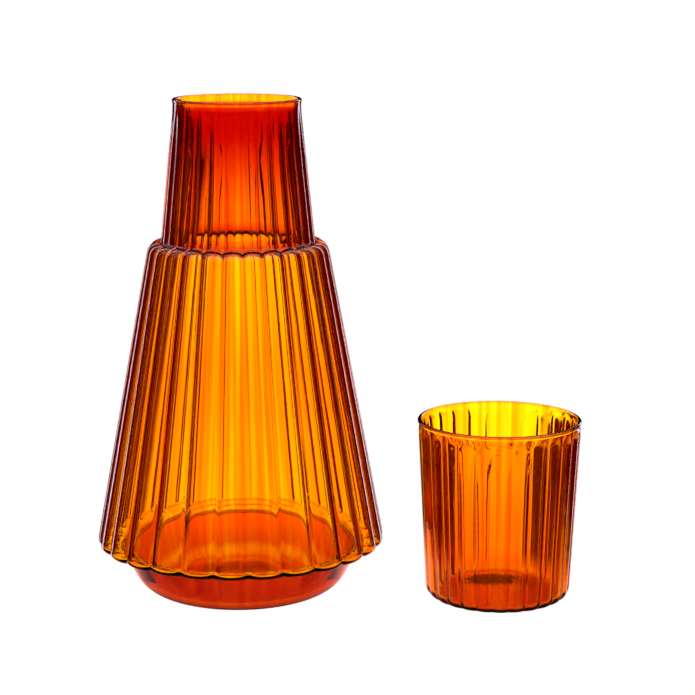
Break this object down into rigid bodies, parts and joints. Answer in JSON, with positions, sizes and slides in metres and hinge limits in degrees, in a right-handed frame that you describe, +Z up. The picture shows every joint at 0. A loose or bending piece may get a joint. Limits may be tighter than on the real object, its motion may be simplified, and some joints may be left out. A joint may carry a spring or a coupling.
{
  "type": "carafe with tumbler",
  "caption": "Fluted amber glass carafe with a conical body, open neck and cup base, and a matching tumbler that can cover its neck, for serving and pouring drinks.",
  "frame": {"origin": "on the table that the pair stands on, in the middle of the pair's footprint", "axes": "+Z up along both axes of revolution; +X from the carafe to the tumbler; -Y to the viewer"},
  "size_m": [0.2151, 0.1286, 0.22],
  "materials": {
    "amber_glass": "clear amber glass, glossy, fluted"
  },
  "bodies": {
    "carafe": {"carafe": "amber_glass"},
    "tumbler": {"tumbler": "amber_glass"}
  },
  "joints": [
    {"name": "tumbler_lift", "type": "slide", "parent": "carafe", "child": "tumbler", "axis": [0, 0, 1], "range_m": [0, 0.24]}
  ]
}
